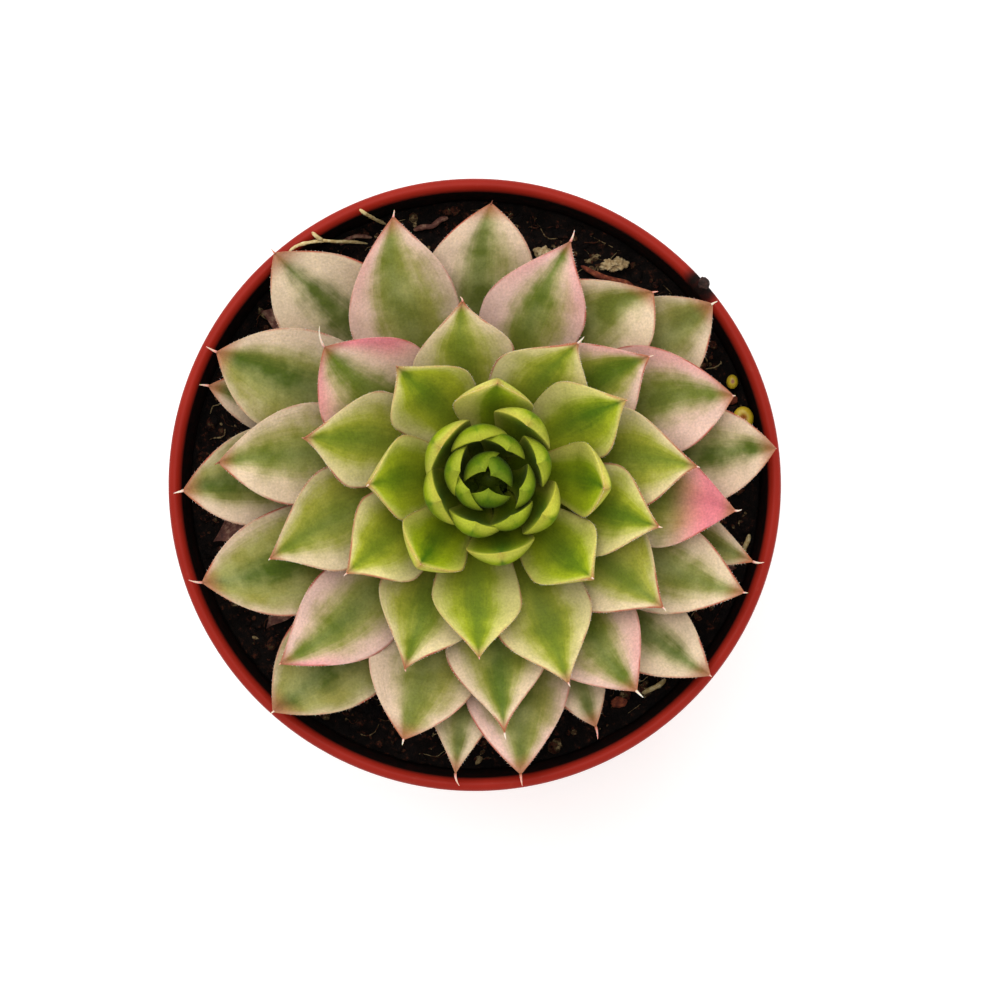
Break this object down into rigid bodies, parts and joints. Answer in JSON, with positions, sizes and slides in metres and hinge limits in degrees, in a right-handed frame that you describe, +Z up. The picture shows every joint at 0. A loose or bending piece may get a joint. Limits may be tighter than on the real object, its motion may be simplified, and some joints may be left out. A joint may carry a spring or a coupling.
{
  "type": "potted succulent",
  "caption": "Variegated houseleek rosette growing in dark soil in a small round tapered plastic nursery pot with a stepped rim band and drain holes.",
  "frame": {"origin": "on the surface that the pot stands on, on the pot's axis", "axes": "+Z up along the pot's axis; +Y towards the top of the picture, +X towards its right"},
  "size_m": [0.085, 0.085, 0.0848],
  "materials": {
    "pot": "moulded polypropylene, satin terracotta red",
    "soil": "moist black peat, fibrous and crumbly",
    "leaf": "fleshy leaf with a soft waxy sheen, green middle, cream and pink edges",
    "prill": "resin-coated fertiliser bead",
    "bark": "rough composted bark",
    "grit": "matt porous crumb",
    "straw": "dry plant fibre",
    "withered": "dried papery leaf"
  },
  "bodies": {
    "root": {"pot": "pot", "soil": "soil", "rosette": "leaf", "rim_crumb": "soil", "prill_upper": "prill", "prill_lower": "prill", "bark_chip": "bark", "crumb_top": "grit", "crumb_top_right": "grit", "flake_lower": "bark", "bark_strip": "bark", "straw_arc": "straw", "straw_brown": "withered", "straw_top": "straw", "withered_tip_top": "withered", "pale_strand_right": "straw", "pale_strand_lower_right": "straw", "withered_leaf_upper_left": "withered", "withered_leaf_left": "withered", "withered_leaf_lower_left": "withered", "withered_leaf_bottom": "withered", "withered_leaf_right": "withered"}
  },
  "joints": []
}
